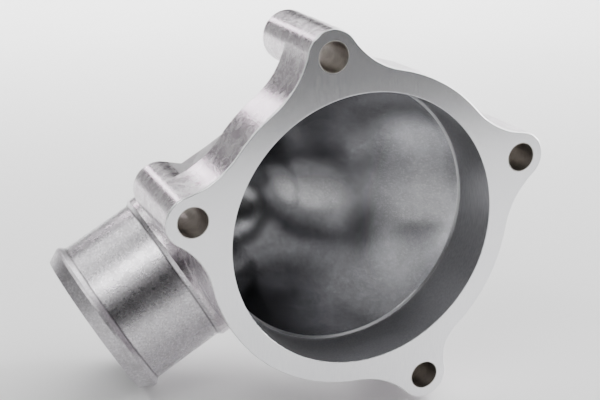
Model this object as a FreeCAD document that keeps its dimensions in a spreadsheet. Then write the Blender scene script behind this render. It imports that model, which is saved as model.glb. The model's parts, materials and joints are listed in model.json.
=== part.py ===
import FreeCAD, Part
import math
import os
import Sketcher
from FreeCAD import Vector

# Engine coolant housing, one aluminium casting.
# Frame: the origin is the centre of the main bore on the machined mating face.
# The face is the plane Y = 0 and looks toward -Y, the body lies behind it on +Y, and Z is up.
# All lengths are millimetres and all angles are degrees.

SIZES = {
    # Main bore, and the ring of the flange round it
    "bore_radius": 43.0,
    "bore_length": 18.0,
    "seat_step": 0.65,
    "seat_bevel": 0.5,
    "ring_wall": 7.0,
    "flange_thickness": 17.0,
    "edge_break": 0.35,
    # Four bolt bosses: angle round the bore, and distance of the hole from the bore wall
    "lobe_radius": 8.0,
    "bolt_hole_radius": 4.5,
    "boss_length": 34.0,
    "right_angle": 17.67,
    "right_offset": 13.0,
    "top_angle": 102.1,
    "top_offset": 12.55,
    "left_angle": 168.4,
    "left_offset": 12.5,
    "bottom_angle": 292.35,
    "bottom_offset": 14.25,
    # Hollow curves from the ring to each lobe and back, going anticlockwise round the face
    "right_blend_before": 27.7,
    "right_blend_after": 27.7,
    "top_blend_before": 25.0,
    "top_blend_after": 26.0,
    "left_blend_before": 28.0,
    "left_blend_after": 22.5,
    "bottom_blend_before": 26.3,
    "bottom_blend_after": 13.0,
    # Web that ties the left boss to the bowl
    "web_angle": 13.3,
    "web_length": 16.0,
    # Leaning bowl: depth of each level below the one before, shift toward the neck, inner radius
    "upper_drop": 11.5,
    "upper_shift": 4.8,
    "upper_radius": 37.0,
    "middle_drop": 13.0,
    "middle_shift": 11.5,
    "middle_radius": 30.7,
    "lower_drop": 11.0,
    "lower_shift": 16.3,
    "lower_radius": 26.0,
    # Dome that ends the bowl, how much wider it is than the passage, and how far below the neck
    # axis the bowl runs into it
    "dome_shift": 18.5,
    "dome_margin": 1.1,
    "crown_drop": 10.0,
    # Outside of the bowl: where it starts within the flange, and its width there
    "root_rise": 1.0,
    "root_wall": 4.3,
    # Hose neck: direction round the bore, depth of its axis, lengths from the bore axis
    "neck_angle": 209.27,
    "neck_depth": 53.4,
    "neck_length": 83.3,
    "neck_radius": 26.2,
    "passage_radius": 22.4,
    "pipe_wall": 4.95,
    "pipe_start": 19.0,
    "saddle_corner": 3.0,
    "shoulder_reach": 51.0,
    "shoulder_length": 1.5,
    # Hose bead, measured back from the end of the neck
    "bead_foot": 6.7,
    "bead_top_start": 5.1,
    "bead_top_end": 4.15,
    "bead_height": 1.5,
    "nose_drop": 0.7,
    "mouth_break": 0.6,
}

LOBES = ("right", "top", "left", "bottom")
LEVELS = ("upper", "middle", "lower")

# How a sketch counts the points of an element, and its own axes; the origin is the first point
# of the horizontal axis
START, END, CENTRE = range(1, 4)
HORIZONTAL_AXIS, VERTICAL_AXIS = range(-1, -3, -1)
ORIGIN = HORIZONTAL_AXIS

# How near to a plane an edge has to lie to count as in it
FLAT = 1e-4

doc = FreeCAD.newDocument("coolant_housing")
sheet = doc.addObject("Spreadsheet::Sheet", "sizes")
for row, (name, number) in enumerate(SIZES.items(), start=1):
    sheet.set(f"A{row}", name)
    sheet.set(f"B{row}", str(number))
    sheet.setAlias(f"B{row}", name)
doc.recompute()

body = doc.addObject("PartDesign::Body", "housing")
body.Label = "housing"


def origin_plane(role):
    """The body's own origin plane with this role."""
    return next(plane for plane in body.Origin.OriginFeatures if plane.Role == role)


def new_sketch(label, role="XZ_Plane", depth=None, turn=None):
    """A sketch on an origin plane, set back to a depth and turned round the bore axis."""
    sketch = body.newObject("Sketcher::SketchObject", label)
    sketch.AttachmentSupport = [(origin_plane(role), "")]
    sketch.MapMode = "FlatFace"
    if depth:
        sketch.setExpression(".AttachmentOffset.Base.z", f"-({depth})")
    if turn:
        sketch.setExpression(".AttachmentOffset.Rotation.Angle", turn)
    return sketch


def tie(sketch, constraint, formula=None):
    """Add one constraint, and bind its value to a formula of the sheet."""
    index = sketch.addConstraint(constraint)
    if formula:
        sketch.setExpression(f"Constraints[{index}]", formula)
    return index


def tie_point(sketch, element, point, spot, across, upward):
    """Hold a point at its distances from the sketch origin; "0" puts it on the axis itself."""
    for kind, axis, formula, amount in (("DistanceX", VERTICAL_AXIS, across, spot.x),
                                        ("DistanceY", HORIZONTAL_AXIS, upward, spot.y)):
        if formula == "0":
            sketch.addConstraint(Sketcher.Constraint("PointOnObject", element, point, axis))
        elif formula:
            tie(sketch, Sketcher.Constraint(kind, ORIGIN, START, element, point, amount), formula)


def polar(reach, angle):
    """The point at this distance and angle from the bore axis, in the face."""
    return Vector(reach * math.cos(math.radians(angle)), reach * math.sin(math.radians(angle)), 0)


def arc_between(centre, radius, first, last):
    """The anticlockwise arc round a centre from one point to another."""
    start = math.atan2(first.y - centre.y, first.x - centre.x)
    stop = math.atan2(last.y - centre.y, last.x - centre.x)
    if stop <= start:
        stop += 2 * math.pi
    return Part.ArcOfCircle(Part.Circle(centre, Vector(0, 0, 1), radius), start, stop)


def bolt_reach(lobe):
    """Formula for the distance of a bolt hole from the bore axis."""
    return f"(sizes.bore_radius + sizes.{lobe}_offset)"


def bolt_centre(lobe):
    """The centre of a bolt hole in the face."""
    return polar(SIZES["bore_radius"] + SIZES[f"{lobe}_offset"], SIZES[f"{lobe}_angle"])


def tie_to_bolt(sketch, element, point, lobe):
    """Hold a point of a sketch on the axis of a bolt hole."""
    spot = bolt_centre(lobe)
    across = f"{bolt_reach(lobe)} * cos(sizes.{lobe}_angle)"
    upward = f"{bolt_reach(lobe)} * sin(sizes.{lobe}_angle)"
    tie(sketch, Sketcher.Constraint("DistanceX", ORIGIN, START, element, point, spot.x), across)
    tie(sketch, Sketcher.Constraint("DistanceY", ORIGIN, START, element, point, spot.y), upward)


def blend_centre(lobe, side):
    """Centre of the hollow curve that touches ring and lobe, before or after the lobe."""
    ring = SIZES["bore_radius"] + SIZES["ring_wall"]
    blend = SIZES[f"{lobe}_blend_{side}"]
    reach = SIZES["bore_radius"] + SIZES[f"{lobe}_offset"]
    far = ring + blend
    near = SIZES["lobe_radius"] + blend
    swing = math.degrees(math.acos((reach**2 + far**2 - near**2) / (2 * reach * far)))
    turn = swing if side == "after" else -swing
    return polar(far, SIZES[f"{lobe}_angle"] + turn)


def flange_outline():
    """Outline of the flange: ring arcs, lobe arcs and hollow blends, all tangent in a row."""
    sketch = new_sketch("flange_outline")
    ring = SIZES["bore_radius"] + SIZES["ring_wall"]
    chain = []
    lobe_arcs = []
    ring_arcs = []
    blends = []
    for number, lobe in enumerate(LOBES):
        following = LOBES[(number + 1) % len(LOBES)]
        before = blend_centre(lobe, "before")
        after = blend_centre(lobe, "after")
        centre = bolt_centre(lobe)
        lobe_radius = SIZES["lobe_radius"]
        lobe_in = centre + (before - centre).normalize() * lobe_radius
        lobe_out = centre + (after - centre).normalize() * lobe_radius
        ring_in = Vector(before).normalize() * ring
        ring_out = Vector(after).normalize() * ring
        next_in = blend_centre(following, "before").normalize() * ring
        first = sketch.addGeometry(
            arc_between(before, SIZES[f"{lobe}_blend_before"], lobe_in, ring_in))
        second = sketch.addGeometry(arc_between(centre, lobe_radius, lobe_in, lobe_out))
        third = sketch.addGeometry(
            arc_between(after, SIZES[f"{lobe}_blend_after"], ring_out, lobe_out))
        fourth = sketch.addGeometry(arc_between(Vector(0, 0, 0), ring, ring_out, next_in))
        chain += [(first, END, START), (second, START, END), (third, END, START),
                  (fourth, START, END)]
        lobe_arcs.append(second)
        ring_arcs.append(fourth)
        blends += [(first, f"{lobe}_blend_before"), (third, f"{lobe}_blend_after")]
    for (element, _, leave), (other, enter, _) in zip(chain, chain[1:] + chain[:1]):
        sketch.addConstraint(Sketcher.Constraint("Tangent", element, leave, other, enter))
    for lobe, lobe_arc, ring_arc in zip(LOBES, lobe_arcs, ring_arcs):
        tie_to_bolt(sketch, lobe_arc, CENTRE, lobe)
        tie(sketch, Sketcher.Constraint("Radius", lobe_arc, SIZES["lobe_radius"]),
            "sizes.lobe_radius")
        sketch.addConstraint(Sketcher.Constraint("Coincident", ring_arc, CENTRE, ORIGIN, START))
        tie(sketch, Sketcher.Constraint("Radius", ring_arc, ring),
            "sizes.bore_radius + sizes.ring_wall")
    for element, name in blends:
        tie(sketch, Sketcher.Constraint("Radius", element, SIZES[name]), f"sizes.{name}")
    return sketch


def bolt_circles(label, radius_name):
    """One circle round each bolt axis."""
    sketch = new_sketch(label)
    for lobe in LOBES:
        circle = Part.Circle(bolt_centre(lobe), Vector(0, 0, 1), SIZES[radius_name])
        element = sketch.addGeometry(circle)
        tie_to_bolt(sketch, element, CENTRE, lobe)
        tie(sketch, Sketcher.Constraint("Radius", element, SIZES[radius_name]),
            f"sizes.{radius_name}")
    return sketch


def pad(label, sketch, length):
    """Push a sketch of the face back into the body."""
    feature = body.newObject("PartDesign::Pad", label)
    feature.Profile = sketch
    feature.Reversed = True
    feature.setExpression("Length", length)
    return feature


def web_outline():
    """Rectangle from the left boss to the bowl, with its top side tangent to the boss."""
    sketch = new_sketch("web_outline")
    slope = math.radians(-SIZES["web_angle"])
    along = Vector(math.cos(slope), math.sin(slope), 0)
    up = Vector(-along.y, along.x, 0)
    boss = bolt_centre("left")
    corners = [boss,
               boss + along * SIZES["web_length"],
               boss + along * SIZES["web_length"] + up * SIZES["lobe_radius"],
               boss + up * SIZES["lobe_radius"]]
    sides = [sketch.addGeometry(Part.LineSegment(first, last))
             for first, last in zip(corners, corners[1:] + corners[:1])]
    for side, following in zip(sides, sides[1:] + sides[:1]):
        sketch.addConstraint(Sketcher.Constraint("Coincident", side, END, following, START))
        if following != sides[0]:
            sketch.addConstraint(Sketcher.Constraint("Perpendicular", side, following))
    tie_to_bolt(sketch, sides[0], START, "left")
    tie(sketch, Sketcher.Constraint("Angle", sides[0], slope), "-sizes.web_angle")
    tie(sketch, Sketcher.Constraint("Distance", sides[0], SIZES["web_length"]),
        "sizes.web_length")
    tie(sketch, Sketcher.Constraint("Distance", sides[1], SIZES["lobe_radius"]),
        "sizes.lobe_radius")
    return sketch


def level_circle(label, depth, shift, radius):
    """A circle parallel to the face; shift and radius are pairs of a number and its formula."""
    sketch = new_sketch(label, depth=depth, turn="sizes.neck_angle")
    centre = Vector(shift[0], 0, 0)
    element = sketch.addGeometry(Part.Circle(centre, Vector(0, 0, 1), radius[0]))
    tie_point(sketch, element, CENTRE, centre, shift[1], "0")
    tie(sketch, Sketcher.Constraint("Radius", element, radius[0]), radius[1])
    return sketch


def bowl_levels():
    """Circles of the inside of the leaning bowl, from its mouth down to the dome."""
    depth = "sizes.bore_length + sizes.seat_bevel"
    mouth = (SIZES["bore_radius"] - SIZES["seat_step"], "sizes.bore_radius - sizes.seat_step")
    sketches = [level_circle("mouth", depth, (0, "0"), mouth)]
    for level in LEVELS:
        depth += f" + sizes.{level}_drop"
        shift = (SIZES[f"{level}_shift"], f"sizes.{level}_shift")
        radius = (SIZES[f"{level}_radius"], f"sizes.{level}_radius")
        sketches.append(level_circle(level, depth, shift, radius))
    inner = (SIZES["passage_radius"] + SIZES["dome_margin"],
             "sizes.passage_radius + sizes.dome_margin")
    sketches.append(crown_circle("inner_crown", "dome_shift", inner))
    return sketches


def crown_circle(label, shift_name, dome):
    """The circle where the plane that ends the bowl cuts a dome of this radius."""
    drop = SIZES["crown_drop"]
    shift = (SIZES[shift_name], f"sizes.{shift_name}")
    radius = (math.sqrt(dome[0]**2 - drop**2), f"sqrt(({dome[1]})^2 - sizes.crown_drop^2)")
    return level_circle(label, "sizes.neck_depth + sizes.crown_drop", shift, radius)


def outer_circles():
    """First and last circle of the bowl's outside, from within the flange to the outer dome."""
    depth = "sizes.flange_thickness - sizes.root_rise"
    root = (SIZES["bore_radius"] + SIZES["root_wall"], "sizes.bore_radius + sizes.root_wall")
    pipe = (SIZES["passage_radius"] + SIZES["pipe_wall"], "sizes.passage_radius + sizes.pipe_wall")
    return [level_circle("outer_root", depth, (0, "0"), root),
            crown_circle("outer_crown", "pipe_start", pipe)]


def loft(kind, label, sketches):
    """Skin through a row of circles: straight between two, smooth through more."""
    feature = body.newObject(kind, label)
    feature.Profile = sketches[0]
    feature.Sections = sketches[1:]
    feature.Ruled = len(sketches) == 2
    feature.Closed = False
    return feature


def chain_lines(sketch, spots):
    """Straight lines from spot to spot, joined end to end."""
    lines = [sketch.addGeometry(Part.LineSegment(first, last))
             for first, last in zip(spots, spots[1:])]
    for line, following in zip(lines, lines[1:]):
        sketch.addConstraint(Sketcher.Constraint("Coincident", line, END, following, START))
    return lines


def held_lines(sketch, points):
    """Straight lines from spot to spot, each spot held by its two formulas."""
    spots = [spot for spot, _, _ in points]
    lines = chain_lines(sketch, spots)
    for line, (spot, across, upward) in zip(lines, points):
        tie_point(sketch, line, START, spot, across, upward)
    spot, across, upward = points[-1]
    tie_point(sketch, lines[-1], END, spot, across, upward)
    return lines


def close_with_arc(sketch, lines, centre, radius, shift_name):
    """An arc round a spot of the axis, from the start of a chain of lines round to its end."""
    first = sketch.Geometry[lines[0]].StartPoint
    last = sketch.Geometry[lines[-1]].EndPoint
    dome = sketch.addGeometry(arc_between(centre, radius, first, last))
    sketch.addConstraint(Sketcher.Constraint("Coincident", dome, START, lines[0], START))
    sketch.addConstraint(Sketcher.Constraint("Coincident", dome, END, lines[-1], END))
    tie_point(sketch, dome, CENTRE, centre, f"sizes.{shift_name}", "0")
    return dome


def turn_round(kind, label, sketch, axis):
    """Turn a profile a full circle round one of its own axes."""
    feature = body.newObject(kind, label)
    feature.Profile = sketch
    feature.ReferenceAxis = (sketch, [axis])
    feature.Angle = 360.0
    return feature


def neck_profile():
    """Outer form of the neck from its domed inner end to the nose of the hose bead."""
    sketch = new_sketch("neck_profile", depth="sizes.neck_depth", turn="sizes.neck_angle")
    start = SIZES["pipe_start"]
    pipe = SIZES["passage_radius"] + SIZES["pipe_wall"]
    shoulder = SIZES["shoulder_reach"]
    neck = SIZES["neck_radius"]
    length = SIZES["neck_length"]
    bead = neck + SIZES["bead_height"]
    pipe_formula = "sizes.passage_radius + sizes.pipe_wall"
    bead_formula = "sizes.neck_radius + sizes.bead_height"
    points = [
        (Vector(start, pipe, 0), "sizes.pipe_start", pipe_formula),
        (Vector(shoulder, pipe, 0), "sizes.shoulder_reach", pipe_formula),
        (Vector(shoulder + SIZES["shoulder_length"], neck, 0),
         "sizes.shoulder_reach + sizes.shoulder_length", "sizes.neck_radius"),
        (Vector(length - SIZES["bead_foot"], neck, 0),
         "sizes.neck_length - sizes.bead_foot", "sizes.neck_radius"),
        (Vector(length - SIZES["bead_top_start"], bead, 0),
         "sizes.neck_length - sizes.bead_top_start", bead_formula),
        (Vector(length - SIZES["bead_top_end"], bead, 0),
         "sizes.neck_length - sizes.bead_top_end", bead_formula),
        (Vector(length, neck - SIZES["nose_drop"], 0),
         "sizes.neck_length", "sizes.neck_radius - sizes.nose_drop"),
        (Vector(length, 0, 0), "sizes.neck_length", "0"),
        (Vector(start - pipe, 0, 0), None, "0"),
    ]
    lines = held_lines(sketch, points)
    close_with_arc(sketch, lines, Vector(start, 0, 0), pipe, "pipe_start")
    return sketch


def saddle_outline():
    """Outline of the wall under the pipe: as wide as the pipe, rounded into the ring's curve."""
    sketch = new_sketch("saddle_outline", turn="sizes.neck_angle")
    half = SIZES["passage_radius"] + SIZES["pipe_wall"]
    ring = SIZES["bore_radius"] + SIZES["ring_wall"]
    corner = SIZES["saddle_corner"]
    start = SIZES["pipe_start"]
    reach = math.sqrt((ring - corner)**2 - (half - corner)**2)
    high_centre = Vector(reach, half - corner, 0)
    low_centre = Vector(reach, corner - half, 0)
    high_side = Vector(reach, half, 0)
    low_side = Vector(reach, -half, 0)
    high_end = Vector(high_centre).normalize() * ring
    low_end = Vector(low_centre).normalize() * ring
    lines = chain_lines(
        sketch, [high_side, Vector(start, half, 0), Vector(start, -half, 0), low_side])
    low = sketch.addGeometry(arc_between(low_centre, corner, low_side, low_end))
    front = sketch.addGeometry(arc_between(Vector(0, 0, 0), ring, low_end, high_end))
    high = sketch.addGeometry(arc_between(high_centre, corner, high_end, high_side))
    for element, other in ((lines[2], low), (low, front), (front, high), (high, lines[0])):
        sketch.addConstraint(Sketcher.Constraint("Tangent", element, END, other, START))
    for element, name in ((low, "sizes.saddle_corner"), (high, "sizes.saddle_corner")):
        tie(sketch, Sketcher.Constraint("Radius", element, corner), name)
    sketch.addConstraint(Sketcher.Constraint("Coincident", front, CENTRE, ORIGIN, START))
    tie(sketch, Sketcher.Constraint("Radius", front, ring),
        "sizes.bore_radius + sizes.ring_wall")
    width = "sizes.passage_radius + sizes.pipe_wall"
    tie_point(sketch, lines[1], START, Vector(start, half, 0), "sizes.pipe_start", width)
    tie_point(sketch, lines[1], END, Vector(start, -half, 0), "sizes.pipe_start", f"-({width})")
    sketch.addConstraint(Sketcher.Constraint("Horizontal", lines[0]))
    sketch.addConstraint(Sketcher.Constraint("Horizontal", lines[2]))
    return sketch


def bore_profile():
    """Half section of the main bore: its straight wall, and the small bevel at its inner end."""
    sketch = new_sketch("bore_profile", "XY_Plane")
    bore = SIZES["bore_radius"]
    length = SIZES["bore_length"]
    floor = length + SIZES["seat_bevel"]
    floor_formula = "sizes.bore_length + sizes.seat_bevel"
    points = [
        (Vector(0, 0, 0), "0", "0"),
        (Vector(bore, 0, 0), "sizes.bore_radius", "0"),
        (Vector(bore, length, 0), "sizes.bore_radius", "sizes.bore_length"),
        (Vector(bore - SIZES["seat_step"], floor, 0),
         "sizes.bore_radius - sizes.seat_step", floor_formula),
        (Vector(0, floor, 0), "0", floor_formula),
    ]
    lines = held_lines(sketch, points)
    axis = sketch.addGeometry(Part.LineSegment(points[-1][0], points[0][0]))
    sketch.addConstraint(Sketcher.Constraint("Coincident", lines[-1], END, axis, START))
    sketch.addConstraint(Sketcher.Constraint("Coincident", axis, END, lines[0], START))
    return sketch


def passage_profile():
    """Half section of the dome and of the water passage, with its broken edge at the mouth."""
    sketch = new_sketch("passage_profile", depth="sizes.neck_depth", turn="sizes.neck_angle")
    radius = SIZES["passage_radius"]
    length = SIZES["neck_length"]
    edge = SIZES["mouth_break"]
    dome_radius = radius + SIZES["dome_margin"]
    centre = Vector(SIZES["dome_shift"], 0, 0)
    rim = centre + Vector(math.sqrt(dome_radius**2 - radius**2), radius, 0)
    points = [
        (rim, None, "sizes.passage_radius"),
        (Vector(length - edge, radius, 0),
         "sizes.neck_length - sizes.mouth_break", "sizes.passage_radius"),
        (Vector(length, radius + edge, 0),
         "sizes.neck_length", "sizes.passage_radius + sizes.mouth_break"),
        (Vector(length, 0, 0), "sizes.neck_length", "0"),
        (centre - Vector(dome_radius, 0, 0), None, "0"),
    ]
    lines = held_lines(sketch, points)
    dome = close_with_arc(sketch, lines, centre, dome_radius, "dome_shift")
    tie(sketch, Sketcher.Constraint("Radius", dome, dome_radius),
        "sizes.passage_radius + sizes.dome_margin")
    return sketch


def face_edges():
    """Names of the edges that lie in the mating face."""
    doc.recompute()
    return [f"Edge{number}" for number, edge in enumerate(body.Shape.Edges, start=1)
            if abs(edge.BoundBox.YMin) < FLAT and abs(edge.BoundBox.YMax) < FLAT]


def break_face_edges():
    """The small bevel round the mating face."""
    names = face_edges()
    base = body.Tip
    feature = body.newObject("PartDesign::Chamfer", "face_chamfer")
    feature.Base = (base, names)
    feature.setExpression("Size", "sizes.edge_break")


def build_outside():
    """The solid outside of the casting."""
    pad("flange", flange_outline(), "sizes.flange_thickness")
    loft("PartDesign::AdditiveLoft", "outer_bowl", outer_circles())
    pad("saddle", saddle_outline(), "sizes.neck_depth")
    turn_round("PartDesign::Revolution", "neck", neck_profile(), "H_Axis")
    pad("bosses", bolt_circles("boss_circles", "lobe_radius"), "sizes.boss_length")
    pad("left_web", web_outline(), "sizes.boss_length")
    break_face_edges()


def build_inside():
    """Everything that is cut or cored out of it."""
    turn_round("PartDesign::Groove", "main_bore", bore_profile(), "V_Axis")
    loft("PartDesign::SubtractiveLoft", "inner_bowl", bowl_levels())
    turn_round("PartDesign::Groove", "passage", passage_profile(), "H_Axis")
    holes = body.newObject("PartDesign::Pocket", "bolt_holes")
    holes.Profile = bolt_circles("bolt_circles", "bolt_hole_radius")
    holes.Type = "ThroughAll"


build_outside()
build_inside()
doc.recompute()

for item in doc.Objects:
    if "Invalid" in item.State or "Error" in item.State:
        raise RuntimeError(f"{item.Label} did not rebuild: {item.State}")
if body.Shape.isNull() or not body.Shape.isValid() or len(body.Shape.Solids) != 1:
    raise RuntimeError("the housing is not one sound solid")

os.makedirs("parts", exist_ok=True)
body.Shape.exportStep(f"parts/{body.Label}.step")
box = body.Shape.BoundBox
print(f"{body.Label}: {box.XLength:.1f} x {box.YLength:.1f} x {box.ZLength:.1f} mm")
print(f"volume {body.Shape.Volume / 1000:.1f} cm3, {len(body.Shape.Faces)} faces")
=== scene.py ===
import json
import math
from functools import reduce
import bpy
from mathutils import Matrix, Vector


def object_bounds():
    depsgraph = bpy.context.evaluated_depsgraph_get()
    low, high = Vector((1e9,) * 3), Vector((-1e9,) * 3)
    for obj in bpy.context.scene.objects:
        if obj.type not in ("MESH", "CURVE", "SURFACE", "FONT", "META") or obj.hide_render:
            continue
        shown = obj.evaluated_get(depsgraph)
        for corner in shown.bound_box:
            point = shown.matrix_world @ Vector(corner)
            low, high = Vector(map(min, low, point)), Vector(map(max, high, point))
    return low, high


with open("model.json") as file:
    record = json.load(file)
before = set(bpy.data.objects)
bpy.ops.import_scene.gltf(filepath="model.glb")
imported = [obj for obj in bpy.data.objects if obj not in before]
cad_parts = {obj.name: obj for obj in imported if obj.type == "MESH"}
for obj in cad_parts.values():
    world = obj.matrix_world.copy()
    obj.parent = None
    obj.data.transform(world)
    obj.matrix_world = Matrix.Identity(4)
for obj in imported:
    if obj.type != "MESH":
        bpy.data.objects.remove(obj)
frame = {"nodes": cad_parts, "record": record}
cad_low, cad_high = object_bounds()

from types import SimpleNamespace

import bpy
import numpy as np
from mathutils import Matrix, Vector

# Thermostat housing: one aluminium casting with a machined flange face.
# Everything is in metres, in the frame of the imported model: the mating face is the plane Y = 0 and
# looks toward -Y, the casting lies behind it, and Z is up.

MM = 0.001
MOUNTS = {mount["name"]: mount for mount in frame["record"]["mounts"]}
MAIN_BORE = MOUNTS["main_bore"]
HOSE_NECK = MOUNTS["hose_neck"]
BOLT_HOLES = [mount for name, mount in MOUNTS.items() if name.endswith("bolt_hole")]

# Sizes of the casting that the mounts don't give. A depth is measured behind the mating face, and
# a reach along the neck from the axis of the main bore.
EDGE_BREAK = 0.35 * MM
FLANGE_THICKNESS = 17.0 * MM
BOSS_RADIUS = 8.0 * MM
SEAT_DEPTH = 18.4 * MM
SEAT_BEVEL = 0.5 * MM
NECK_DEPTH = 53.4 * MM
ROOT_REACH = 38.0 * MM
ROOT_LENGTH = 8.0 * MM
SHOULDER_REACH = 51.0 * MM
SHOULDER_LENGTH = 1.5 * MM
BEAD_REACH = 76.6 * MM
PASSAGE_RADIUS = 22.4 * MM
MOUTH_RADIUS = 42.4 * MM
DOME_RADIUS = 23.5 * MM
DOME_SHIFT = 18.5 * MM
DOME_DEPTH = 60.0 * MM
# What lies no further than this from the core's surface belongs to the inside
MID_WALL = 1.6 * MM

# How far a finish runs past its own surface, and the width over which it fades into the next
OVERLAP = 0.1 * MM
FADE = 0.1 * MM
# Half the width of the painted shade line in the creases at the foot of the shoulder and of the bead
CORNER_WIDTH = 0.15 * MM
# Depth past the seat at which the inside begins to look softer, and over which it gets so
SOFT_START = 3.0 * MM

# Colours of the finishes and of the painted shade: a pair goes from the first to the second over the
# patches of a pattern
CAST = (0.58, 0.52, 0.57), (0.80, 0.76, 0.79)
CAST_GLINT = (0.93, 0.91, 0.92)
CAST_PIT = (0.46, 0.41, 0.45)
MACHINED = (0.92, 0.92, 0.95), (0.97, 0.97, 0.99)
CORED = (0.34, 0.34, 0.35), (0.405, 0.405, 0.42)
CORED_GLINT = (0.57, 0.57, 0.58)
BORED = (0.72, 0.72, 0.74), (0.84, 0.84, 0.86)
DRILLED = (0.36, 0.335, 0.31), (0.48, 0.45, 0.42)
SANDED = (0.34, 0.325, 0.34), (0.46, 0.445, 0.46)
TURNED = (0.60, 0.58, 0.61), (0.45, 0.43, 0.45)
TURNED_GLINT = (0.88, 0.86, 0.88)
TURNED_PIT = (0.38, 0.36, 0.38)
BEAD_STAIN = (0.46, 0.44, 0.46)
# Painted shade: the dark line in the creases at the foot of the shoulder and of the bead
PAINTED_CREASE_SHADE = (0.16, 0.15, 0.16)
SEAT_GREY = (0.36, 0.36, 0.37)
BROKEN_EDGE = (0.97, 0.97, 0.98)
WHITE = (1.0, 1.0, 1.0)
BLACK = (0.0, 0.0, 0.0)

# Roughness of the finishes: a pair goes from the first to the second over a pattern
CAST_ROUGH = 0.25, 0.29
SANDED_ROUGH = 0.48
TURNED_ROUGH = 0.26, 0.30
BEAD_ROUGH = 0.38
CORED_ROUGH = 0.22
BORED_ROUGH = 0.34
EDGE_ROUGH = 0.5
MACHINED_ROUGH = 0.18, 0.24
DRILLED_ROUGH = 0.42
FLOOR_ROUGH = 0.6
FELT_ROUGH = 0.9

# Sizes of the patches in each pattern
SWELL_SIZE = 42.0 * MM
MOTTLE_SIZE = 3.5 * MM
GRAIN_SIZE = 0.7 * MM
SKIN_SIZE = 0.25 * MM
SPECKLE_SIZE = 0.6 * MM
BRUSHED_SIZE = 0.5 * MM
SCRATCH_TURN, SCRATCH_SCALE = (0.3, 0.8, 0.5), (1.0, 0.3, 1.0)
BRUSHED_SCALE = (1.0, 1.0, 0.12)

# Relief of the surface: strength and height of the bumps, and the radii that the edges seem to have
BUMP_STRENGTH = 0.35
BUMP_HEIGHT = 0.12 * MM
CRISP_RADIUS = 0.3 * MM
SOFT_RADIUS = 3.0 * MM

# Camera, from the perspective of the bore, the bolt holes and the neck in the photograph
CAMERA_PLACE = (-0.13914, -0.27245, 0.11937)
CAMERA_LOOK = (0.3720, 0.8651, -0.3366)
CAMERA_LENS = 65.44
SENSOR_WIDTH = 36.0
CLIP_START = 0.01

# Floor of the studio and the wall at its end: how far they reach, where the floor begins to glow
# and where it glows in full, and how brightly
FLOOR_REACH = 6.0
GLOW_START, GLOW_FULL = 0.5, 1.7
HORIZON_GLOW = 1.5
FLOOR_WHITE = (0.9, 0.9, 0.9)
WALL_SIDES = 64

# Black card in front of the casting: its left and right edge, its place, its top and its gap to
# the floor
FLAG_LEFT, FLAG_RIGHT = -0.08, 0.6
FLAG_FRONT = -0.28
FLAG_TOP = 0.06
FLAG_GAP = 0.001
FLAG_BLACK = (0.065, 0.065, 0.065)

# Softboxes on a ring round the casting: name, degrees round from the front toward the right,
# degrees above the horizon, width, height, watts and colour
LIGHT_CENTRE = Vector((-0.01, 0.03, 0.0))
LIGHT_REACH = 1.2
WARM = (1.0, 0.90, 0.97)
SOFTBOXES = (
    ("right_low", 90, 10, 0.55, 0.35, 10.2, WHITE),
    ("right_high", 90, 40, 0.55, 0.70, 9.6, WHITE),
    ("rear_right_low", 135, 12, 0.80, 0.45, 3.6, WHITE),
    ("rear_right_high", 135, 45, 0.60, 0.55, 5.2, WHITE),
    ("rear_high", 180, 45, 0.60, 0.55, 5.6, WHITE),
    ("rear_low", 202, 9, 0.90, 0.45, 0.6, WHITE),
    ("rear_left", 225, 45, 0.60, 0.55, 2.2, WHITE),
    ("left", 270, 40, 0.60, 0.80, 3.2, WHITE),
    ("front_left", -50, 54, 0.45, 0.25, 3.3, WHITE),
    ("front_left_low", -52, 28, 0.60, 0.35, 0.35, WHITE),
    ("front_right", 30, 50, 0.55, 0.35, 1.6, WHITE),
    ("front", -15, 45, 0.90, 0.35, 1.2, WHITE),
    # A small one, whose glint runs along the wall of the flange
    ("rear_glint", 191, 24, 0.14, 0.12, 0.8, WARM),
)
FLOOR_LIGHT_PLACE = (0.15, 0.85, 0.9)
FLOOR_LIGHT_SIZE = (1.0, 0.8)
FLOOR_LIGHT_WATTS = 7.5
FLOOR_LIGHT_SPREAD = 60.0
ROOM_LIGHT = 0.025


class Value:
    """A number that varies over a surface: one output of a node, with the signs of arithmetic."""

    def __init__(self, finish, socket):
        self.finish = finish
        self.socket = socket

    def __add__(self, other):
        return self.finish.maths("ADD", self, other)

    __radd__ = __add__

    def __sub__(self, other):
        return self.finish.maths("SUBTRACT", self, other)

    def __rsub__(self, other):
        return self.finish.maths("SUBTRACT", other, self)

    def __mul__(self, other):
        return self.finish.maths("MULTIPLY", self, other)

    __rmul__ = __mul__

    def __truediv__(self, other):
        return self.finish.maths("DIVIDE", self, other)

    def __pow__(self, other):
        return self.finish.maths("POWER", self, other)

    def __abs__(self):
        return self.finish.maths("ABSOLUTE", self)


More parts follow.
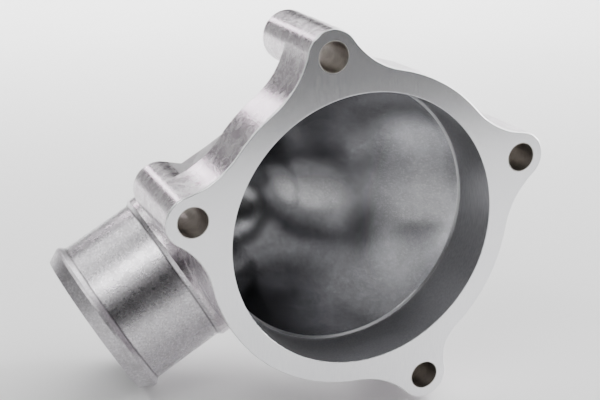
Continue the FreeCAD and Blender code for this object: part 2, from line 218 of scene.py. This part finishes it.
class Finish:
    """A material, its nodes and the patterns that are laid over the surface."""

    def __init__(self, name):
        self.material = bpy.data.materials.new(name)
        self.material.use_nodes = True
        self.tree = self.material.node_tree
        self.tree.nodes.clear()

    def node(self, kind, settings=(), inputs=()):
        """Add a node of this type, give it its settings, then feed its sockets."""
        made = self.tree.nodes.new(kind)
        for name, setting in dict(settings).items():
            setattr(made, name, setting)
        for name, value in dict(inputs).items():
            self.feed(made.inputs[name], value)
        return made

    def feed(self, socket, value):
        """Link a value to a socket, or set it there where it is the same all over."""
        if isinstance(value, Value):
            value = value.socket
        if isinstance(value, bpy.types.NodeSocket):
            self.tree.links.new(value, socket)
        else:
            socket.default_value = value

    def maths(self, operation, *terms):
        """One Math node on up to three numbers."""
        made = self.node("ShaderNodeMath", {"operation": operation}, dict(enumerate(terms)))
        return Value(self, made.outputs[0])

    def least(self, first, second):
        """The smaller of two numbers."""
        return self.maths("MINIMUM", first, second)

    def most(self, first, second):
        """The larger of two numbers."""
        return self.maths("MAXIMUM", first, second)

    def step(self, value, low, high):
        """0 at low, 1 at high, and a smooth rise between; low may be the larger."""
        made = self.node("ShaderNodeMapRange", {"interpolation_type": "SMOOTHSTEP"},
                         {"Value": value, "From Min": low, "From Max": high})
        return Value(self, made.outputs["Result"])

    def below(self, value, limit, fade):
        """1 up to the limit, falling to 0 over the fade past it."""
        return self.step(value, limit + fade, limit)

    def above(self, value, limit, fade):
        """0 up to the limit, rising to 1 over the fade past it."""
        return self.step(value, limit, limit + fade)

    def place(self):
        """Object coordinates, as a vector socket."""
        return self.node("ShaderNodeTexCoord").outputs["Object"]

    def turned(self, vector, rotation=(0, 0, 0), scale=(1, 1, 1)):
        """The vector turned and scaled by a Mapping node."""
        made = self.node("ShaderNodeMapping",
                         inputs={"Vector": vector, "Rotation": rotation, "Scale": scale})
        return made.outputs["Vector"]

    def parts(self, vector):
        """The three numbers of a vector."""
        made = self.node("ShaderNodeSeparateXYZ", inputs={"Vector": vector})
        return [Value(self, output) for output in made.outputs]

    def vectors(self, operation, first, second=BLACK):
        """One Vector Math node."""
        return self.node("ShaderNodeVectorMath", {"operation": operation}, {0: first, 1: second})

    def along(self, vector, start, direction):
        """Distance of the surface point from a start, measured along a direction: the dot product
        of the offset from the start with the unit direction."""
        offset = self.vectors("SUBTRACT", vector, start).outputs["Vector"]
        return Value(self, self.vectors("DOT_PRODUCT", offset, direction).outputs["Value"])

    def away(self, vector, start, direction):
        """Distance of the surface point from the line through start along direction: the length
        of the cross product of the offset from start with the unit direction."""
        offset = self.vectors("SUBTRACT", vector, start).outputs["Vector"]
        across = self.vectors("CROSS_PRODUCT", offset, direction).outputs["Vector"]
        return Value(self, self.vectors("LENGTH", across).outputs["Value"])

    def distance(self, vector, spot):
        """Distance of the surface point from a spot."""
        return Value(self, self.vectors("DISTANCE", vector, spot).outputs["Value"])

    def noise(self, vector, size, detail=2.0, roughness=0.5, distortion=0.0):
        """Cloudy noise from 0 to 1 whose patches are about this size in metres."""
        made = self.node("ShaderNodeTexNoise", inputs={
            "Vector": vector, "Scale": 1.0 / size, "Detail": detail, "Roughness": roughness,
            "Distortion": distortion})
        return Value(self, made.outputs["Fac"])

    def blend(self, amount, first, second, kind="RGBA"):
        """Colour, or vector where kind is VECTOR, that goes from the first to the second as the
        amount goes from 0 to 1."""
        made = self.node("ShaderNodeMix", {"data_type": kind}, {"Factor": amount})
        for name, value in (("A", first), ("B", second)):
            socket = next(s for s in made.inputs if s.name == name and s.type == kind)
            self.feed(socket, value if isinstance(value, bpy.types.NodeSocket) else (*value, 1.0))
        return next(s for s in made.outputs if s.type == kind)

    def mix(self, amount, first, second):
        """Number that goes from the first to the second as the amount goes from 0 to 1."""
        return first + (second - first) * amount

    def surface(self, **inputs):
        """Finish the material with one Principled shader."""
        shader = self.node("ShaderNodeBsdfPrincipled",
                           inputs={name.replace("_", " "): value for name, value in inputs.items()})
        self.node("ShaderNodeOutputMaterial", inputs={"Surface": shader.outputs["BSDF"]})
        return self.material


def bore_radius(mount):
    """The wall radius that a bore mount states, in metres."""
    return mount["dims"]["r_mm"] * MM


def casting_zones(finish, spot):
    """Where each finish, and the painted shade in the creases, lies, as numbers that are 1 on it and
    0 off it.

    The inside is what lies within half a wall of the core. The core is a bowl whose centre and
    radius change evenly from the seat to the dome, a dome round a point of the neck's axis, and
    the passage round that axis."""
    x, depth, z = finish.parts(spot)
    neck_line = Vector(HOSE_NECK["axis"])
    neck_start = Vector((0.0, NECK_DEPTH, 0.0))
    reach = finish.along(spot, neck_start, neck_line)
    off_neck = finish.away(spot, neck_start, neck_line)
    off_bore = finish.away(spot, MAIN_BORE["pos_m"], MAIN_BORE["axis"])
    off_bolts = reduce(finish.least, [finish.away(spot, hole["pos_m"], hole["axis"])
                                      for hole in BOLT_HOLES])

    share = finish.least(finish.most((depth - SEAT_DEPTH) / (DOME_DEPTH - SEAT_DEPTH), 0.0), 1.0)
    shift = share * DOME_SHIFT
    off_lean = ((x - shift * neck_line.x) ** 2.0 + (z - shift * neck_line.z) ** 2.0) ** 0.5
    past_wall = off_lean - finish.mix(share, MOUTH_RADIUS, DOME_RADIUS)
    cavity = finish.below(past_wall, MID_WALL - OVERLAP, 2 * FADE)
    cavity = cavity * finish.above(depth, SEAT_DEPTH, FADE / 10)
    cavity = cavity * finish.below(depth, DOME_DEPTH, FADE)
    off_dome = finish.distance(spot, neck_start + neck_line * DOME_SHIFT)
    dome = finish.below(off_dome, DOME_RADIUS + MID_WALL - FADE, FADE)
    passage = finish.below(off_neck, PASSAGE_RADIUS + MID_WALL - FADE, FADE)
    passage = passage * finish.above(reach, DOME_SHIFT - 10 * FADE, 10 * FADE)
    inside = finish.most(finish.most(cavity, dome), passage)
    outside = 1.0 - inside

    face = finish.below(depth, OVERLAP / 2, FADE)
    bore = finish.below(off_bore, bore_radius(MAIN_BORE) + OVERLAP, 2 * FADE)
    bore = bore * finish.below(depth, SEAT_DEPTH, 2 * FADE)
    bowl = finish.above(depth, FLANGE_THICKNESS + OVERLAP, 3 * FADE)
    bowl = bowl * finish.above(off_bolts, BOSS_RADIUS + OVERLAP, 2 * FADE)
    bowl = bowl * finish.below(reach, ROOT_REACH, ROOT_LENGTH)
    off_corner = finish.least(abs(reach - BEAD_REACH),
                              abs(reach - SHOULDER_REACH - SHOULDER_LENGTH))
    return SimpleNamespace(
        face=face,
        edge=finish.below(depth, EDGE_BREAK, FADE) * (1.0 - face),
        bore=bore,
        seat=bore * finish.above(depth, SEAT_DEPTH - SEAT_BEVEL, FADE),
        inside=inside,
        deep=inside * finish.above(depth, SEAT_DEPTH + SOFT_START, SOFT_START),
        holes=finish.below(off_bolts, bore_radius(BOLT_HOLES[0]) + OVERLAP, 2 * FADE),
        bowl=bowl,
        turned=finish.above(reach, SHOULDER_REACH, 5 * FADE) * outside,
        bead=finish.above(reach, BEAD_REACH, 3 * FADE) * outside,
        # Painted shade: a dark line in the creases at the foot of the shoulder and of the bead
        corner=finish.below(off_corner, CORNER_WIDTH, 3 * FADE) * outside)


def casting_patterns(finish, spot):
    """Noise over the surface: broad swells, patches, cast grain, fine skin, scratches that lie
    one way, and the marks of the cutter, drawn out along Z."""
    scratched = finish.turned(spot, rotation=SCRATCH_TURN, scale=SCRATCH_SCALE)
    drawn_out = finish.turned(spot, scale=BRUSHED_SCALE)
    return SimpleNamespace(
        swell=finish.noise(spot, SWELL_SIZE, detail=1.0, roughness=0.4, distortion=0.6),
        mottle=finish.noise(spot, MOTTLE_SIZE, detail=4.0, roughness=0.6, distortion=0.4),
        grain=finish.noise(spot, GRAIN_SIZE, detail=3.0, roughness=0.6),
        skin=finish.noise(spot, SKIN_SIZE, detail=1.0),
        speckle=finish.noise(scratched, SPECKLE_SIZE, detail=2.0, roughness=0.7),
        brushed=finish.noise(drawn_out, BRUSHED_SIZE, detail=2.0))


def casting_colour(finish, zone, pattern):
    """Colour of the casting: each finish, and the painted shade in the creases, is laid over those
    before it, where its zone is 1.
    """
    mottle, grain, speckle = pattern.mottle, pattern.grain, pattern.speckle

    cast = finish.blend(finish.step(mottle, 0.35, 0.65), *CAST)
    cast = finish.blend(finish.step(speckle, 0.52, 0.66) * 0.7, cast, CAST_GLINT)
    cast = finish.blend(finish.step(grain, 0.5, 0.7) * 0.45, cast, CAST_PIT)
    machined = finish.blend(finish.step(pattern.brushed, 0.35, 0.65), *MACHINED)
    cored = finish.blend(finish.step(mottle, 0.3, 0.7), *CORED)
    cored = finish.blend(finish.step(speckle, 0.5, 0.68) * 0.45, cored, CORED_GLINT)
    bored = finish.blend(finish.step(pattern.brushed, 0.3, 0.7), *BORED)
    drilled = finish.blend(finish.step(mottle, 0.3, 0.7), *DRILLED)
    sanded = finish.blend(finish.step(grain, 0.3, 0.7), *SANDED)
    turned = finish.blend(finish.step(mottle, 0.45, 0.7) * 0.5, *TURNED)
    turned = finish.blend(finish.step(speckle, 0.5, 0.62) * 0.55, turned, TURNED_GLINT)
    turned = finish.blend(finish.step(grain, 0.5, 0.65) * 0.6, turned, TURNED_PIT)
    bead = finish.blend(finish.step(mottle, 0.3, 0.7) * 0.5, turned, BEAD_STAIN)

    colour = cast
    for amount, paint in ((zone.bowl, sanded), (zone.turned, turned), (zone.bead, bead),
                          # Painted shade in the creases at the foot of the shoulder and of the bead,
                          # three quarters strong
                          (zone.corner * 0.75, PAINTED_CREASE_SHADE), (zone.inside, cored),
                          (zone.bore, bored), (zone.seat, SEAT_GREY), (zone.edge, BROKEN_EDGE),
                          (zone.face, machined), (zone.holes, drilled)):
        colour = finish.blend(amount, colour, paint)
    return colour


def casting_roughness(finish, zone, pattern):
    """Roughness of the casting, laid over in the order of the colours."""
    worn = finish.step(pattern.mottle, 0.3, 0.75)
    rough = finish.mix(worn, *CAST_ROUGH)
    for amount, value in ((zone.bowl, SANDED_ROUGH),
                          (zone.turned, finish.mix(worn, *TURNED_ROUGH)),
                          (zone.bead, BEAD_ROUGH), (zone.inside, CORED_ROUGH),
                          (zone.bore, BORED_ROUGH), (zone.edge, EDGE_ROUGH),
                          (zone.face, finish.mix(pattern.brushed, *MACHINED_ROUGH)),
                          (zone.holes, DRILLED_ROUGH)):
        rough = finish.mix(amount, rough, value)
    return rough


def casting_normal(finish, zone, pattern):
    """Normal of the casting: edges rounded by a Bevel node, more widely deep inside, and then
    bumped by the patterns."""
    grain, skin = pattern.grain, pattern.skin
    height = finish.mix(finish.most(zone.face, zone.bore), grain * 0.45 + pattern.mottle * 0.12,
                        skin * 0.06)
    height = finish.mix(zone.turned, height, grain * 0.8 + skin * 0.3)
    height = finish.mix(zone.inside, height, grain * 0.16 + pattern.swell * 6.0)
    crisp = finish.node("ShaderNodeBevel", {"samples": 4}, {"Radius": CRISP_RADIUS})
    soft = finish.node("ShaderNodeBevel", {"samples": 6}, {"Radius": SOFT_RADIUS})
    rounded = finish.blend(zone.deep, crisp.outputs["Normal"], soft.outputs["Normal"], "VECTOR")
    bump = finish.node("ShaderNodeBump", inputs={
        "Strength": BUMP_STRENGTH, "Distance": BUMP_HEIGHT, "Height": height, "Normal": rounded})
    return bump.outputs["Normal"]


def cast_aluminium():
    """The one material of the casting, with the finish of each zone."""
    finish = Finish("cast_aluminium")
    spot = finish.place()
    zone = casting_zones(finish, spot)
    pattern = casting_patterns(finish, spot)
    return finish.surface(Base_Color=casting_colour(finish, zone, pattern), Metallic=1.0,
                          Roughness=casting_roughness(finish, zone, pattern),
                          Normal=casting_normal(finish, zone, pattern))


def floor_paint():
    """A plain matt white. It glows far from the casting, where no lamp reaches it, so that the
    floor stays pale up to the horizon."""
    finish = Finish("floor_paint")
    far = finish.distance(finish.place(), BLACK)
    glow = finish.blend(finish.step(far, GLOW_START, GLOW_FULL), BLACK, WHITE)
    return finish.surface(Base_Color=(*FLOOR_WHITE, 1.0), Roughness=FLOOR_ROUGH,
                          Emission_Color=glow, Emission_Strength=HORIZON_GLOW)


def stage_sheet(name, corners, material, faces=((0, 1, 2, 3),)):
    """A sheet of the studio, which is not part of the object."""
    mesh = bpy.data.meshes.new(name)
    mesh.from_pydata(corners, [], faces)
    mesh.materials.append(material)
    sheet = bpy.data.objects.new(name, mesh)
    bpy.context.scene.collection.objects.link(sheet)
    return sheet


def studio_floor():
    """A large flat floor, as low as the lowest point of the casting."""
    height = cad_low.z
    corners = [(-FLOOR_REACH, -FLOOR_REACH, height), (FLOOR_REACH, -FLOOR_REACH, height),
               (FLOOR_REACH, FLOOR_REACH, height), (-FLOOR_REACH, FLOOR_REACH, height)]
    stage_sheet("floor", corners, floor_paint())


def studio_wall():
    """A pale round wall at the end of the floor, which only the camera sees. Its corners stand in
    pairs, evenly round a circle: one at the floor and one high above it."""
    turns = np.linspace(0.0, 2.0 * math.pi, WALL_SIDES, endpoint=False)
    across, back = FLOOR_REACH * np.cos(turns), FLOOR_REACH * np.sin(turns)
    corners = np.concatenate([np.column_stack((across, back, np.full(WALL_SIDES, height)))
                              for height in (cad_low.z, FLOOR_REACH)])
    first = np.arange(WALL_SIDES)
    second = (first + 1) % WALL_SIDES
    faces = np.column_stack((second, first, first + WALL_SIDES, second + WALL_SIDES))
    glow = Finish("wall_glow").surface(Base_Color=(*BLACK, 1.0), Roughness=1.0,
                                       Emission_Color=(*WHITE, 1.0),
                                       Emission_Strength=HORIZON_GLOW)
    wall = stage_sheet("wall", corners.tolist(), glow, faces.tolist())
    wall.visible_diffuse = False
    wall.visible_glossy = False
    wall.visible_transmission = False
    wall.visible_shadow = False


def black_flag():
    """A low black card in front of the casting, which only its reflections show: it darkens the
    upper part of the mating face."""
    low = cad_low.z + FLAG_GAP
    corners = [(FLAG_LEFT, FLAG_FRONT, low), (FLAG_RIGHT, FLAG_FRONT, low),
               (FLAG_RIGHT, FLAG_FRONT, FLAG_TOP), (FLAG_LEFT, FLAG_FRONT, FLAG_TOP)]
    felt = Finish("black_felt").surface(Base_Color=(*FLAG_BLACK, 1.0), Roughness=FELT_ROUGH)
    flag = stage_sheet("black_flag", corners, felt)
    flag.visible_camera = False
    flag.visible_diffuse = False
    flag.visible_shadow = False


def softbox(name, place, aim, size, watts, colour=WHITE, spread=180.0):
    """A rectangular area light at a place, shining along a direction."""
    lamp = bpy.data.lights.new(name, "AREA")
    lamp.shape = "RECTANGLE"
    lamp.size, lamp.size_y = size
    lamp.energy = watts
    lamp.color = colour
    lamp.spread = math.radians(spread)
    holder = bpy.data.objects.new(name, lamp)
    holder.location = place
    holder.rotation_mode = "QUATERNION"
    holder.rotation_quaternion = Vector(aim).to_track_quat("-Z", "Y")
    bpy.context.scene.collection.objects.link(holder)


def ring_softbox(name, turn, rise, width, height, watts, colour):
    """A softbox of the ring, which shines at the casting. It lies along the unit vector whose parts
    are sin(turn) cos(rise), -cos(turn) cos(rise) and sin(rise)."""
    turn, rise = math.radians(turn), math.radians(rise)
    out = Vector((math.sin(turn) * math.cos(rise), -math.cos(turn) * math.cos(rise),
                  math.sin(rise)))
    softbox(name, LIGHT_CENTRE + out * LIGHT_REACH, -out, (width, height), watts, colour)


def studio_lights():
    """The ring of softboxes, a light for the floor behind the casting and a dim room."""
    for box in SOFTBOXES:
        ring_softbox(*box)
    softbox("floor_light", FLOOR_LIGHT_PLACE, (0.0, 0.0, -1.0), FLOOR_LIGHT_SIZE,
            FLOOR_LIGHT_WATTS, spread=FLOOR_LIGHT_SPREAD)
    world = bpy.data.worlds.new("room")
    world.use_nodes = True
    background = world.node_tree.nodes["Background"]
    background.inputs["Color"].default_value = (*WHITE, 1.0)
    background.inputs["Strength"].default_value = ROOM_LIGHT
    bpy.context.scene.world = world


def photograph_camera():
    """The camera at the photograph's viewing angle, upright."""
    data = bpy.data.cameras.new("camera")
    data.lens = CAMERA_LENS
    data.sensor_width = SENSOR_WIDTH
    data.sensor_fit = "HORIZONTAL"
    data.clip_start = CLIP_START
    camera = bpy.data.objects.new("camera", data)
    look = Vector(CAMERA_LOOK).normalized()
    right = look.cross(Vector((0.0, 0.0, 1.0))).normalized()
    up = right.cross(look)
    turn = Matrix((right, up, -look)).transposed()
    camera.matrix_world = Matrix.Translation(CAMERA_PLACE) @ turn.to_4x4()
    bpy.context.scene.collection.objects.link(camera)
    bpy.context.scene.camera = camera


housing = frame["nodes"]["housing"]
housing.material_slots[0].material = cast_aluminium()
studio_floor()
studio_wall()
black_flag()
studio_lights()
photograph_camera()
